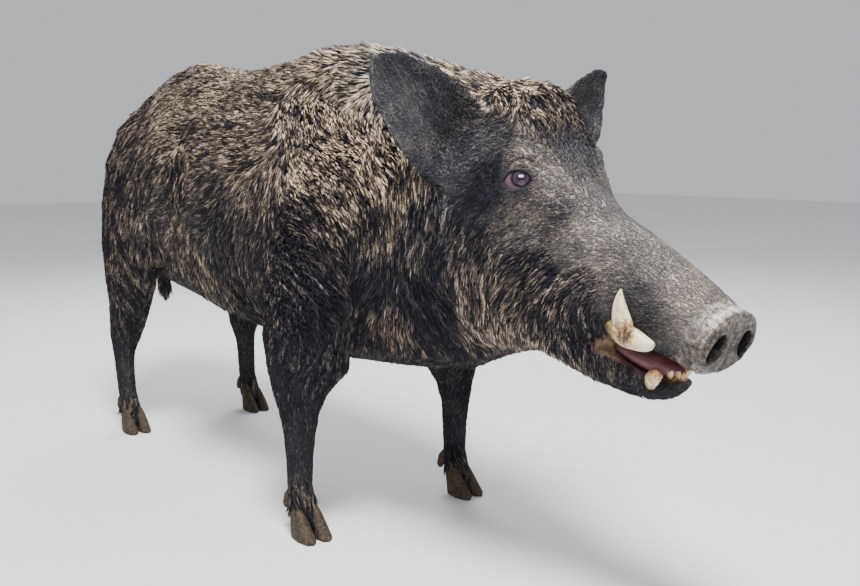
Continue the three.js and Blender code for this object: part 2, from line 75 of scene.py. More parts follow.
# The coat at named places: the place in cm, which way the tips point, how deep and how long the coat is in
# mm, and how light (dark to light) and how warm (grey to tan) its tips are in percent.
COAT = {
    "rump_top": ((-69, 9, 80), (-9, 3, -4), 8.4, 25, 84, 81),
    "rump_side": ((-85, 14, 73), (-5, 4, -8), 8.4, 25, 55, 81),
    "rump_back": ((-84, 18, 58), (-1, 1, -10), 8.4, 25, 35, 81),
    "rump_rear": ((-99, 4, 62), (-2, 2, -10), 4, 21, 30, 68),
    "thigh_back": ((-81, 19, 43), (2, 0, -10), 7.7, 22, 35, 81),
    "thigh_rear": ((-93, 10, 45), (1, 0, -10), 6.3, 18, 25, 68),
    "loin": ((-49, 7, 81), (-10, 1, 0), 9.8, 27, 95, 94),
    "back": ((-26, 11, 77), (-10, 0, 0), 10.5, 27, 90, 88),
    "back_rise": ((-22, 7, 82), (-10, 0, -1), 14, 32, 90, 94),
    "withers": ((-8, 5, 84), (-10, 0, 0.5), 16.8, 38, 85, 94),
    "withers_side": ((-4, 13, 74), (8, 1, -5), 12.6, 30, 80, 90),
    "withers_turn": ((-5, 9, 80), (-1, 4, -9), 14, 32, 82, 90),
    "neck_top": ((3, 7, 81), (-9, 1.5, 0), 15.4, 35, 95, 68),
    "hip": ((-59, 14, 71), (-10, 0, 0), 9.1, 25, 90, 94),
    "flank_top": ((-26, 15, 71), (-10, 0, -1), 10.5, 25, 85, 88),
    "flank_rear": ((-42, 16, 68), (-10, 0, 0), 9.8, 25, 80, 94),
    "flank": ((-17, 16, 67), (-9, 0, -3), 10.5, 25, 80, 88),
    "flank_fall": ((-13, 18, 63), (1, 2, -10), 10.5, 28, 55, 81),
    "fold": ((-66, 17, 62), (-5, 1, -9), 8.4, 24, 45, 81),
    "fold_fore": ((-50, 17, 64), (5, 1, -7), 9.1, 24, 50, 94),
    "haunch": ((-59, 17, 55), (-9, 0, -4), 8.4, 25, 45, 68),
    "flank_low": ((-39, 18, 56), (-10, 0, -2), 9.8, 27, 40, 68),
    "shoulder_top": ((-2, 16, 65), (10, 0, -4), 11.2, 27, 75, 94),
    "shoulder_rear": ((-10, 15, 74), (7, 2, -5), 11.2, 27, 80, 90),
    "shoulder_high": ((6, 15, 67), (10, 0, -3.8), 11.2, 27, 85, 100),
    "neck_base": ((15, 14, 64), (8, 0, -6), 11.2, 28, 85, 100),
    "neck_side": ((21, 13, 62), (4, 1, -9), 10.5, 27, 62, 94),
    "neck_high": ((12, 9, 77), (5, 3, -7), 12.6, 31, 103, 68),
    "shoulder": ((5, 17, 60), (9, 0, -4.5), 11.2, 25, 60, 81),
    "shoulder_fore": ((17, 15, 56), (5, 0, -9), 10.5, 25, 50, 81),
    "arm_rear": ((-4, 18, 54), (9, 0, -4), 9.8, 22, 30, 68),
    "arm": ((-2, 19, 46), (9, 0, -4), 8.4, 21, 24, 54),
    "arm_fore": ((4, 16, 47), (8, -2, -5), 8.4, 21, 30, 61),
    "elbow": ((5, 17, 41), (6, -4, -7), 7, 18, 14, 54),
    "groove": ((14, 14, 45), (-6, -1, -8), 9.1, 24, 15, 41),
    "groove_low": ((8, 13, 39), (-6, -2, -8), 7.7, 21, 35, 81),
    "chest_side": ((19, 14, 48), (-1, -2, -10), 9.8, 27, 22, 54),
    "chest": ((16, 12, 40), (-3, -3, -9), 9.8, 28, 50, 94),
    "brisket": ((10, 0, 30), (-9, 0, -3), 8.4, 24, 25, 54),
    "forearm_top": ((5, 17, 35), (-1, 1, -10), 7, 18, 15, 41),
    "forearm": ((-3, 19, 26), (-3, 0, -9), 4, 12, 20, 60),
    "cannon": ((-3, 18, 14), (0, 0, -10), 2.5, 9, 28, 70),
    "pastern": ((-1, 18, 5), (5, 1, -9), 3, 28, 36, 80),
    "thigh_low": ((-82, 19, 35), (5, 0, -8), 5.6, 15, 30, 60),
    "gaskin": ((-79, 17, 27), (0, 0, -10), 5, 15, 28, 50),
    "hock": ((-87, 16, 20), (0, 0, -10), 3, 10, 32, 70),
    "hind_cannon": ((-85, 16, 11), (2, 0, -9), 2.5, 9, 30, 70),
    "hind_pastern": ((-83, 16, 5), (5, 1, -9), 3, 28, 36, 80),
    "belly_rear": ((-73, 15, 47), (-2, 0, -10), 7.7, 24, 45, 68),
    "belly_side": ((-49, 17, 50), (-6, -2, -8), 9.1, 27, 50, 81),
    "belly_turn": ((-43, 15, 42), (0, -4, -9), 9.1, 27, 45, 81),
    "belly_fore": ((-27, 16, 41), (3, -4, -8), 9.1, 27, 30, 68),
    "belly_high": ((-19, 19, 52), (-4, 0, -9), 9.8, 27, 35, 68),
    "belly_mid": ((-29, 18, 49), (-2, -2, -9), 9.8, 27, 25, 54),
    "belly_under": ((-40, 0, 30), (-10, 0, 0), 7.7, 24, 12, 41),
    "groin": ((-70, 0, 34), (-10, 0, 0), 5.6, 18, 15, 41),
    "crest": ((19, 3, 79), (-9, 2, 3), 15.4, 36, 103, 94),
    "poll": ((29, 2, 77), (-9, 1, 3), 11.2, 28, 85, 94),
    "forelock": ((34.5, 2, 75), (9, 2, -4), 5, 22, 75, 94),
    "forelock_low": ((40, 2, 72), (7, 0, -7), 4.5, 18, 50, 94),
    "forelock_tip": ((42.5, 3, 69), (6, 1, -8), 3.6, 13, 42, 60),
    "forehead": ((44, 2, 66), (-5, 2, 8), 3, 9, 40, 25),
    "brow": ((43, 6, 66), (-6, 4, 7), 2.5, 8, 50, 35),
    "brow_ridge": ((45, 6, 62), (-8, 3, 4), 2, 8, 58, 30),
    "nose_bridge": ((51, 1, 59), (-9, 1, 4), 1.8, 7, 52, 15),
    "nose_side": ((52, 5, 56), (-9, 3, 1), 2, 7, 64, 30),
    "nose_dark": ((51, 7, 53), (-9, 3, -2), 2.5, 8, 50, 30),
    "eye_front": ((46, 7, 58), (-9, 3, -1), 2, 8, 39, 55),
    "muzzle_top": ((55, 1, 57), (-9, 1, 4), 1.6, 6, 62, 20),
    "muzzle_end": ((65, 2, 50), (-9, 2, 5), 1.2, 5, 65, 35),
    "muzzle_side": ((54, 6, 53), (-9, 3, -1), 2, 6, 63, 30),
    "muzzle_high": ((62, 2, 53), (-9, 2, 3), 1.4, 6, 60, 25),
    "tusk_rear": ((60, 6, 47.5), (-9, 2, -1), 1.6, 6, 42, 30),
    "muzzle_lip": ((60, 6, 45), (-8, 1, -3), 1.6, 6, 42, 30),
    "cheek_high": ((43, 10, 56), (-8, 3, -4), 3.5, 11, 50, 35),
    "cheek_fore": ((52, 7, 50), (-7, 3, -6), 5, 15, 50, 55),
    "cheek": ((46, 9, 50), (-6, 3, -7), 7, 20, 45, 68),
    "cheek_low": ((43, 10, 46), (-5, 0, -9), 7, 20, 46, 81),
    "cheek_lip": ((48, 8, 44), (-4, -1, -9), 5.6, 17, 50, 68),
    "lip_corner": ((52, 6, 43), (0, -2, -10), 5, 16, 30, 50),
    "lip_low": ((57, 4.5, 38.5), (3, -2, -9), 4, 13, 36, 60),
    "jowl_rear": ((38, 12, 52), (-1, 0, -10), 5.6, 18, 50, 68),
    "jowl": ((37, 11, 44), (-2, -3, -9), 8.4, 24, 65, 81),
    "jowl_end": ((31, 8, 39), (1, -5, -8), 8.4, 24, 50, 81),
    "jaw": ((44, 8, 41), (-2, -4, -9), 5.6, 18, 50, 68),
    "jaw_fore": ((50, 7, 39), (2, -3, -9), 6, 20, 45, 68),
    "chin": ((57, 4, 35.5), (3, -2, -9), 3, 10, 20, 45),
    "chin_tip": ((64, 1, 36.5), (-6, 2, -8), 1.5, 6, 15, 30),
    "jaw_under": ((45, 0, 36.5), (-9, 0, -3), 6, 20, 20, 41),
    "nape": ((26, 14, 58), (1, 1, -10), 7.7, 21, 36, 35),
    "neck_mid": ((26, 14, 52), (1, -1, -10), 8.4, 22, 35, 54),
    "throat": ((25, 13, 46), (6, -3, -7), 8.4, 22, 12, 54),
    "throat_low": ((25, 10, 40), (3, -3, -8), 8.4, 24, 14, 54),
    "throat_under": ((20, 0, 33), (-10, 0, 0), 7.7, 22, 20, 41),
    "behind_eye": ((37, 10, 62), (-6, 3, -7), 3, 10, 18, 20),
    "temple": ((35, 9, 69), (-7, 5, -4), 3, 10, 42, 20),
    "under_eye": ((43, 9, 60), (-8, 3, -4), 2, 8, 34, 65),
    "ear_root": ((33, 13, 66), (-2, 7, 5), 1, 5, 34, 20),
    "ear_hollow": ((32.5, 12, 70), (-3, 4, 8), 2.5, 11, 30, 60),
    "ear": ((31, 16, 72), (-1, 6, 8), 1, 5, 38, 15),
    "ear_tip": ((29, 22, 77), (0, 7, 6), 1, 5, 36, 10),
    "tail": ((-102, 0, 55), (0, 0, -10), 2.5, 14, 25, 40),
    "tail_end": ((-99, 0, 36), (0.5, 0, -10), 7, 31, 30, 54),
}

# ---- numbers in space ----


def smooth(value, low, high):
    """0 below low, 1 above high, and an even slope between them."""
    share = np.clip((value - low) / (high - low), 0, 1)
    return share * share * (3 - 2 * share)


def cell_number(cells, seed):
    """A fixed random number from 0 to 1 for each row of three whole numbers."""
    mixed = cells[:, 0] * 374761393 + cells[:, 1] * 668265263 + cells[:, 2] * 1103515245 + seed * 97463477
    mixed = ((mixed ^ (mixed >> 13)) * 1274126177) & 0xFFFFFFFF
    return ((mixed ^ (mixed >> 16)) & 0xFFFF) / 65535


def noise(places, size, seed):
    """Smooth random values from -1 to 1, with features of about that size."""
    at = places / size
    low = np.floor(at).astype(np.int64)
    share = at - low
    share = share * share * (3 - 2 * share)
    total = np.zeros(len(places))
    for corner in np.ndindex(2, 2, 2):
        weight = np.prod(np.where(np.array(corner) == 1, share, 1 - share), axis=1)
        total += weight * cell_number(low + np.array(corner), seed)
    return total * 2 - 1


def lengths(vectors):
    return np.linalg.norm(vectors, axis=1)


def unit(vectors):
    return vectors / np.maximum(lengths(vectors), 1e-9)[:, None]


def streaks(places, lie, size, reach, seed):
    """Noise that is drawn out along the lie of the coat."""
    steps = np.linspace(-reach, reach, 5)
    return sum(noise(places + lie * step, size, seed) for step in steps) / math.sqrt(len(steps))


def bell(value, middle, spread):
    """1 at the middle, falling to nothing on both sides."""
    return np.exp(-(((value - middle) / spread) ** 2))


def folded(places):
    """The same places on one side of the boar, with y made positive."""
    return places * (1, 0, 1) + np.abs(places) * (0, 1, 0)


STATIONS = np.array([row[0] for row in COAT.values()]) / 100  # cm to m
LIES = unit(np.array([row[1] for row in COAT.values()]))
LOOKS = np.array([row[2:] for row in COAT.values()]) / (1, 1, 100, 100)
NEAR = 0.012  # places closer than this to a station are nearly its own
FALL = 2.5  # how fast a station's weight falls, as a power of the distance squared
PART_LINE = 10 * MM  # half of the width in which the lie turns over from side to side
MOTTLES = ((0.045, 34, 0.07), (0.016, 35, 0.06))  # of the lightness: size, seed and amount
CHUNK = 20000  # places that are worked out at a time


def coat_at(places):
    """At each place: the way the tips point, and the depth, length, lightness and warmth of the coat."""
    lies, looks = [], []
    for part in np.array_split(places, max(1, len(places) // CHUNK)):
        side = folded(part)
        gap = ((side[:, None, :] - STATIONS) ** 2).sum(2)
        weight = 1 / (gap + NEAR**2) ** FALL
        weight /= weight.sum(1, keepdims=True)
        lie = weight @ LIES
        lie[:, 1] *= np.tanh(part[:, 1] / PART_LINE)
        lies.append(lie)
        look = weight @ LOOKS
        look[:, 2] += sum(noise(part, size, seed) * amount for size, seed, amount in MOTTLES)
        looks.append(look)
    looks = np.concatenate(looks)
    return unit(np.concatenate(lies)), looks[:, 0] * MM, looks[:, 1] * MM, looks[:, 2], looks[:, 3]


# ---- meshes ----

RELAX_STEPS = (0.5, -0.52)  # in towards the neighbours, and out again
INSIDE = 0.2 * MM  # how far everything stays inside the CAD model's box


def new_object(name, mesh):
    made = bpy.data.objects.new(name, mesh)
    bpy.context.scene.collection.objects.link(made)
    return made


def mesh_of(name, places, faces):
    """A mesh of triangles or quads from arrays."""
    mesh = bpy.data.meshes.new(name)
    sides = faces.shape[1]
    mesh.vertices.add(len(places))
    mesh.vertices.foreach_set("co", np.ascontiguousarray(places, np.float32).ravel())
    mesh.loops.add(faces.size)
    mesh.loops.foreach_set("vertex_index", np.ascontiguousarray(faces, np.int32).ravel())
    mesh.polygons.add(len(faces))
    mesh.polygons.foreach_set("loop_start", np.arange(0, faces.size, sides, dtype=np.int32))
    mesh.update(calc_edges=True)
    mesh.shade_smooth()
    return mesh


def rows_of(items, name, width, kind=np.float32):
    """One property of all the items, a row for each."""
    values = np.empty(len(items) * width, kind)
    items.foreach_get(name, values)
    return values.reshape(-1, width)


def places_of(mesh):
    return rows_of(mesh.vertices, "co", 3).astype(float)


def normals_of(mesh):
    return rows_of(mesh.vertex_normals, "vector", 3).astype(float)


def edges_of(mesh):
    return rows_of(mesh.edges, "vertices", 2, np.int32)


def triangles_of(mesh):
    mesh.calc_loop_triangles()
    return rows_of(mesh.loop_triangles, "vertices", 3, np.int32)


def face_middles(mesh):
    return rows_of(mesh.polygons, "center", 3).astype(float)


def move_to(mesh, places):
    mesh.vertices.foreach_set("co", places.astype(np.float32).ravel())
    mesh.update()


def relaxed(places, edges, rounds, amount=1.0):
    """The places smoothed over their neighbours, keeping the volume. amount may be a number for each."""
    count = len(places)
    ends, others = edges.T
    joined = np.maximum(np.bincount(edges.ravel(), minlength=count), 1)
    amount = np.broadcast_to(amount, count)
    for _ in range(rounds):
        for step in RELAX_STEPS:
            sums = [
                np.bincount(ends, column[others], count) + np.bincount(others, column[ends], count)
                for column in places.T
            ]
            middle = np.stack(sums, axis=1) / joined[:, None]
            places = places + (middle - places) * (step * amount)[:, None]
    return places


def applied(obj):
    """The object's mesh with its modifiers applied. The object goes."""
    graph = bpy.context.evaluated_depsgraph_get()
    mesh = bpy.data.meshes.new_from_object(obj.evaluated_get(graph))
    bpy.data.objects.remove(obj)
    return mesh


def remeshed(mesh, voxel):
    obj = new_object("remesh", mesh)
    modifier = obj.modifiers.new("remesh", "REMESH")
    modifier.mode = "VOXEL"
    modifier.voxel_size = voxel
    return applied(obj)


def split_finer(mesh, chosen):
    """Cuts each chosen face into four."""
    work = bmesh.new()
    work.from_mesh(mesh)
    work.faces.ensure_lookup_table()
    edges = {edge for index in chosen for edge in work.faces[index].edges}
    bmesh.ops.subdivide_edges(work, edges=list(edges), cuts=1, use_grid_fill=True)
    bmesh.ops.triangulate(work, faces=[face for face in work.faces if len(face.verts) > 4])
    work.to_mesh(mesh)
    work.free()
    mesh.update()
    return mesh


def together(parts):
    """The places and faces of several shapes as those of one."""
    places, faces = zip(*parts)
    starts = np.cumsum([0, *map(len, places)])
    return np.concatenate(places), np.concatenate([rows + start for rows, start in zip(faces, starts)])


def node_shape(swell_of):
    """The shape of some CAD nodes together, each swollen by so many metres, measured from the fore feet."""
    meshes = [(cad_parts[name].data, swell) for name, swell in swell_of.items()]
    parts = [(places_of(mesh) + normals_of(mesh) * swell, triangles_of(mesh)) for mesh, swell in meshes]
    places, faces = together(parts)
    return places - (FORE, 0, 0), faces


def in_box(places):
    """The places kept within the CAD model's box."""
    return np.clip(places, LOWEST + INSIDE, HIGHEST - INSIDE)


def mark(mesh, name, *columns):
    """Gives the mesh's points up to four numbers each, for its material to read."""
    marks = np.zeros((len(mesh.vertices), 4), np.float32)
    marks[:, : len(columns)] = np.stack(columns, axis=1)
    layer = mesh.color_attributes.new(name, "FLOAT_COLOR", "POINT")
    layer.data.foreach_set("color", marks.ravel())


def stand(obj):
    """Puts an object that is measured from the fore feet in its place in the frame."""
    obj.location.x = FORE
    return obj


# ---- materials ----


class Nodes:
    """Short calls for building a material's node tree."""

    def __init__(self, name):
        self.material = bpy.data.materials.new(name)
        self.material.use_nodes = True
        self.tree = self.material.node_tree
        self.shader = self.tree.nodes["Principled BSDF"]

    def add(self, kind, settings=None, **inputs):
        node = self.tree.nodes.new(kind)
        for key, value in (settings or {}).items():
            setattr(node, key, value)
        for key, value in inputs.items():
            self.feed(node.inputs[key.replace("_", " ")], value)
        return node

    def feed(self, socket, value):
        if isinstance(value, bpy.types.NodeSocket):
            self.tree.links.new(value, socket)
        else:
            socket.default_value = value

    def math(self, operation, first, second=0.0, third=0.0):
        node = self.add("ShaderNodeMath", {"operation": operation})
        for socket, value in zip(node.inputs, (first, second, third)):
            self.feed(socket, value)
        return node.outputs[0]

    def place(self):
        return self.add("ShaderNodeTexCoord").outputs["Object"]

    def noise(self, size, detail=4.0, at=None):
        """Noise with features of about that size in metres, in the object's own space."""
        made = self.add("ShaderNodeTexNoise", Scale=1 / size, Detail=detail)
        self.feed(made.inputs["Vector"], at or self.place())
        return made.outputs["Fac"]

    def drawn_out(self, size, step, count):
        """Noise in streaks along the lie of the coat, about 0.5."""
        lie = self.add("ShaderNodeAttribute", {"attribute_name": "lie"}).outputs["Vector"]
        total = 0.0
        for index in range(count):
            shift = (index - (count - 1) / 2) * step
            moved = self.add("ShaderNodeVectorMath", {"operation": "MULTIPLY_ADD"})
            self.feed(moved.inputs[0], lie)
            self.feed(moved.inputs[1], (shift,) * 3)
            self.feed(moved.inputs[2], self.place())
            total = self.math("ADD", total, self.noise(size, 1.0, moved.outputs[0]))
        return self.math("DIVIDE", total, count)

    def ramp(self, value, *stops):
        """Colours along a value: stops are (position, (r, g, b))."""
        node = self.add("ShaderNodeValToRGB")
        self.feed(node.inputs[0], value)
        elements = node.color_ramp.elements
        while len(elements) < len(stops):
            elements.new(1.0)
        for element, (position, colour) in zip(elements, stops):
            element.position = position
            element.color = (*colour, 1)
        return node.outputs["Color"]

    def mottled(self, noise, low, high):
        return self.ramp(noise, (0.3, low), (0.7, high))

    def mix(self, share, first, second):
        node = self.add("ShaderNodeMix", {"data_type": "RGBA"})
        self.feed(node.inputs[0], share)
        for socket, value in ((node.inputs[6], first), (node.inputs[7], second)):
            self.feed(socket, (*value, 1) if isinstance(value, tuple) else value)
        return node.outputs[2]

    def marks(self, name):
        """The four numbers of one kind that a piece's points carry."""
        made = self.add("ShaderNodeAttribute", {"attribute_name": name})
        parts = self.add("ShaderNodeSeparateColor")
        self.feed(parts.inputs[0], made.outputs["Color"])
        return [*parts.outputs, made.outputs["Alpha"]]

    def bump(self, height, distance, strength=1.0, before=None):
        node = self.add("ShaderNodeBump", Distance=distance, Strength=strength)
        self.feed(node.inputs["Height"], height)
        if before is not None:
            self.feed(node.inputs["Normal"], before)
        return node.outputs[0]

    def finish(self, colour, roughness, normal=None, **fixed):
        self.feed(self.shader.inputs["Base Color"], colour)
        self.feed(self.shader.inputs["Roughness"], roughness)
        if normal is not None:
            self.feed(self.shader.inputs["Normal"], normal)
        for key, value in fixed.items():
            self.shader.inputs[key.replace("_", " ")].default_value = value
        return self.material


# The colours of materials, each at its place on a ramp.
GREYS = [
    (0, (0.005, 0.005, 0.008)), (0.3, (0.022, 0.024, 0.032)),
    (0.6, (0.12, 0.117, 0.12)), (1, (0.56, 0.53, 0.5)),
]
TANS = [
    (0, (0.004, 0.005, 0.01)), (0.3, (0.022, 0.02, 0.026)),
    (0.6, (0.19, 0.135, 0.088)), (1, (0.86, 0.68, 0.48)),
]
IVORY = [
    (0, (0.72, 0.65, 0.52)), (0.35, (0.62, 0.5, 0.32)),
    (0.62, (0.33, 0.2, 0.07)), (0.95, (0.05, 0.032, 0.018)),
]
# The leather's lightest stop is reached mostly under the snout's painted highlight.
LEATHER = [(0.3, (0.03, 0.024, 0.021)), (0.55, (0.125, 0.105, 0.088)), (0.95, (0.56, 0.51, 0.46))]


def fur_colour(nodes, value, warm):
    """The coat's colour from dark to light, grey or tan. Skin and tufts share it."""
    return nodes.mix(warm, nodes.ramp(value, *GREYS), nodes.ramp(value, *TANS))


FLECK, FLECK_SIZE = 0.6, 2.5 * MM  # of the long bristles' lightness
HAIR_SIZE, HAIR_STEP, HAIR_STEPS = 1.5 * MM, 1.7 * MM, 6  # the streaks on the skin
HAIR_CONTRAST = 3.0
# the cracks in the snout's leather are painted dark as shade in them
CRACK_SIZE, CRACK_EDGE, CRACK_SHADE = 11 * MM, 22.0, 0.75  # in the snout's leather


def coat_material():
    nodes = Nodes("bristles")
    value, warm, long, _ = nodes.marks("coat")
    fleck = nodes.math("MULTIPLY_ADD", nodes.noise(FLECK_SIZE, 2.0), FLECK, -FLECK / 2)
    colour = fur_colour(nodes, nodes.math("ADD", value, nodes.math("MULTIPLY", fleck, long)), warm)
    return nodes.finish(colour, 0.6, Specular_IOR_Level=0.12)


def skin_material():
    nodes = Nodes("hide")
    light, warm, bare, wet = nodes.marks("hide")
    dark, brown, red, _ = nodes.marks("face")
    hair = nodes.drawn_out(HAIR_SIZE, HAIR_STEP, HAIR_STEPS)
    value = nodes.math("MULTIPLY_ADD", nodes.math("SUBTRACT", hair, 0.5), HAIR_CONTRAST, light)
    colour = fur_colour(nodes, value, warm)
    crack = nodes.math("ABSOLUTE", nodes.math("SUBTRACT", nodes.noise(CRACK_SIZE, 3.0), 0.5))
    crack = nodes.math("MINIMUM", nodes.math("MULTIPLY", crack, CRACK_EDGE), 1.0)
    # light here carries the snout's painted highlight
    leather = nodes.math("ADD", nodes.noise(7 * MM, 6.0), nodes.math("MULTIPLY_ADD", light, 0.45, -0.1))
    leather = nodes.ramp(leather, *LEATHER)
    # painted shade in the leather's cracks
    cracked = nodes.math("MULTIPLY_ADD", crack, -CRACK_SHADE, CRACK_SHADE)
    leather = nodes.mix(cracked, leather, (0.022, 0.018, 0.016))
    colour = nodes.mix(bare, colour, leather)
    lining = nodes.mottled(nodes.noise(14 * MM, 4.0), (0.085, 0.028, 0.034), (0.15, 0.062, 0.066))
    colour = nodes.mix(wet, colour, lining)
    ochre = nodes.mottled(nodes.noise(7 * MM, 5.0), (0.055, 0.034, 0.016), (0.20, 0.135, 0.07))
    colour = nodes.mix(brown, colour, ochre)
    colour = nodes.mix(red, colour, (0.085, 0.022, 0.016))
    # near-black where the face mark is dark: partly the face's own dark rims and lines, partly painted shade
    # in its creases, hollows and nostrils
    colour = nodes.mix(dark, colour, (0.006, 0.005, 0.006))
    rough = nodes.math("MULTIPLY_ADD", nodes.math("MAXIMUM", bare, wet), -0.22, 0.62)
    normal = nodes.bump(hair, 3.0 * MM, 0.6)
    normal = nodes.bump(nodes.noise(3 * MM, 5.0), 0.6 * MM, 0.6, normal)
    normal = nodes.bump(nodes.math("MULTIPLY", crack, bare), 0.8 * MM, 0.8, normal)
    return nodes.finish(colour, rough, normal, Specular_IOR_Level=0.2)


def plain_material(name, low, high, size, roughness, bump, **fixed):
    """A mottled material between two colours."""
    nodes = Nodes(name)
    noise = nodes.noise(size, 6.0)
    return nodes.finish(nodes.mottled(noise, low, high), roughness, nodes.bump(noise, bump), **fixed)


def ivory_material():
    """Tusk and tooth: pale where clean, ochre and then dark brown where stained."""
    nodes = Nodes("ivory")
    stain, _, _, _ = nodes.marks("stain")
    grain = nodes.noise(5 * MM, 6.0)
    value = nodes.math("MULTIPLY_ADD", nodes.math("SUBTRACT", grain, 0.5), 1.3, stain)
    colour = nodes.ramp(value, *IVORY)
    return nodes.finish(colour, 0.33, nodes.bump(grain, 0.3 * MM), Specular_IOR_Level=0.5)


# ---- the skin ----

SWELL, TAIL_SWELL, EAR_SWELL = 0.8 * MM, 3 * MM, 3.6 * MM  # so that the flesh nodes run into each other
FLESH = dict.fromkeys(("trunk", "neck", "head", "lower_jaw", "snout_disc"), SWELL)
FLESH["tail"] = TAIL_SWELL
for side in SIDES:
    FLESH[f"ear_{side}"] = EAR_SWELL
    for part in ("foreleg_upper", "foreleg_lower", "hindleg_upper", "hindleg_lower"):
        FLESH[f"{part}_{side}"] = SWELL
FINE_FROM = 0.35  # the x from where the head has the finer mesh
ROUNDS = {"all": 8, "ears": 16, "body": 24, "inset": 4, "detail": 4}  # of smoothing
LEG_SMOOTHED = 0.3  # of what the body is

EAR_ROOT, EAR_REAR, EAR_LOW = 0.125, 0.26, 0.6  # the ears lie beyond this y, x and z
EARS_THINNED = 2.4 * MM  # takes the ears' own swell off again, after the remesh
EAR_MIDDLE = (0.30, 0.155, 0.71)
EAR_OUT = unit(np.array([[0.97, 0.19, -0.14]]))[0]  # across the ear's flat
EAR_MORE = 0.05  # of the ear's own size
EAR_TIP = (0.289, 0.236, 0.792)
TIP_DRAWN, TIP_REACH = 0.45, 16 * MM  # how much and how far round it the ear's tip draws the skin out

SNOUT_MIDDLE = (0.704, 0, 0.4315)
SNOUT_UP = np.array((0.379, 0, 0.925))
SNOUT_OUT = np.array((0.925, 0, -0.379))
SNOUT_HALF = (54, 46)  # mm across and up
SNOUT_EDGE, SNOUT_CHIN = (-48, -24), (-66, -56)  # mm out and mm up, between which the hair gives way to it
SNOUT_FOLDS = ((2.2, -9, 6), (-1.8, -21, 5), (1.0, -31, 6), (-1.2, -42, 5))  # mm high, out and wide
NOSTRIL = {"middle": (29, -2), "half": (14, 21), "turn": 0.36, "deep": 30}  # mm, on the snout's disc
MOUTH_ROOF = ((0.52, 0.60, 0.70), (0.432, 0.418, 0.392))  # x and z
MOUTH_FLOOR = ((0.52, 0.57, 0.60, 0.645), (0.41, 0.392, 0.378, 0.374))  # x and z
MOUTH_WALL = ((0.52, 0.60, 0.66), (0.052, 0.044, 0.036))  # x and y

EYE_MIDDLE = (0.4176, 0.0881, 0.6241)  # between the corners of the lids
EYE_OUT = unit(np.array([[0.538, 0.798, 0.270]]))[0]
EYE_UP = unit(np.cross([[0.818, -0.572, 0.061]], EYE_OUT))[0]
EYE_ALONG = np.cross(EYE_OUT, EYE_UP)
EYE_HALF = 19.0  # mm from the middle to a corner of the lids
EYE_HEIGHTS = (15.0, 11.0)  # mm up to the upper lid and down to the lower one
BALL_HALF = (22.5, 19.5, 15.5)  # mm along, up and out
BALL_DEPTH = 11.0  # mm from the lids' plane in to the ball's middle
IRIS = (5.5, 5.0)  # mm along and up from the middle
EYE_DEPTH = 30  # mm in or out from the lids that counts as near the eye
FINEST_EYE, FINEST_SNOUT = 44, -34  # mm from the eye's middle, and out from the disc, of the finest mesh
TEAR_LINE = (np.array((17, -2)), np.array((40, -22)))  # mm along and up where it starts and ends
EYE_FADE = (46, 62)  # mm from the eye's middle, between which its folds die away
EYE_REACH = 40  # mm in or out from the lids that the folds move
CREASE_MIDDLE = (6, 8)  # mm along and up
CREASE_ARCS = ((18, 3.0), (24.5, 2.4), (34, 9))  # mm from there, and mm wide


def eye_place(places):
    """Places measured in mm from the nearer eye's middle: along to the muzzle, up the lids and out."""
    away = (folded(places) - EYE_MIDDLE) / MM
    return away @ EYE_ALONG, away @ EYE_UP, away @ EYE_OUT


def snout_place(places):
    """Places measured in mm from the middle of the snout's disc: across, up the disc and out from it."""
    away = (folded(places) - SNOUT_MIDDLE) / MM
    return away[:, 1], away @ SNOUT_UP, away @ SNOUT_OUT


def ball_height(along, up):
    """How far out the eyeball reaches, in mm."""
    left = 1 - (along / BALL_HALF[0]) ** 2 - (up / BALL_HALF[1]) ** 2
    return BALL_HALF[2] * np.sqrt(np.maximum(left, 0)) - BALL_DEPTH


def lid_ratio(along, up):
    """1 on the lids' edge, less between the lids."""
    half = np.where(up > 0, *EYE_HEIGHTS)
    power = 1.8
    return (np.abs(along / EYE_HALF) ** power + np.abs(up / half) ** power) ** (1 / power)


def creases(along, up):
    """Three arcs above the eye: the lid's fold, the crease over it, which mark_face paints dark as shade in
    it, and the brow over that.
    """
    across, above = along - CREASE_MIDDLE[0], up - CREASE_MIDDLE[1]
    reach = np.hypot(across, above)
    turn = np.degrees(np.arctan2(above, across))
    arc = smooth(turn, 25, 55) * (1 - smooth(turn, 140, 165))
    return [arc * bell(reach, middle, spread) for middle, spread in CREASE_ARCS]


def hollow_behind(along, up):
    """1 in the hollow behind the eye's rear corner."""
    return bell(along, -33, 8) * bell(up, 2, 22)


def tear_line(along, up):
    """1 along the groove that runs down from the eye's front corner, and the share of its length."""
    start, end = TEAR_LINE
    line = end - start
    share = np.clip(((along - start[0]) * line[0] + (up - start[1]) * line[1]) / (line @ line), 0, 1)
    gap = np.hypot(along - start[0] - share * line[0], up - start[1] - share * line[1])
    return bell(gap, 0, 2.2 - 0.9 * share), share


def snout_share(places):
    """1 on the bare snout, 0 away from it, with an uneven edge."""
    _, up, out = snout_place(places)
    reach = out + noise(places, 0.012, 3) * 5 + np.maximum(-up, 0) * 0.15
    return smooth(reach, *SNOUT_EDGE) * smooth(up, *SNOUT_CHIN)


def nostril_ratio(across, up):
    """1 on the rim of a nostril, less inside it."""
    x, y = across - NOSTRIL["middle"][0], up - NOSTRIL["middle"][1]
    cos, sin = math.cos(NOSTRIL["turn"]), math.sin(NOSTRIL["turn"])
    return np.hypot((x * cos + y * sin) / NOSTRIL["half"][0], (y * cos - x * sin) / NOSTRIL["half"][1])


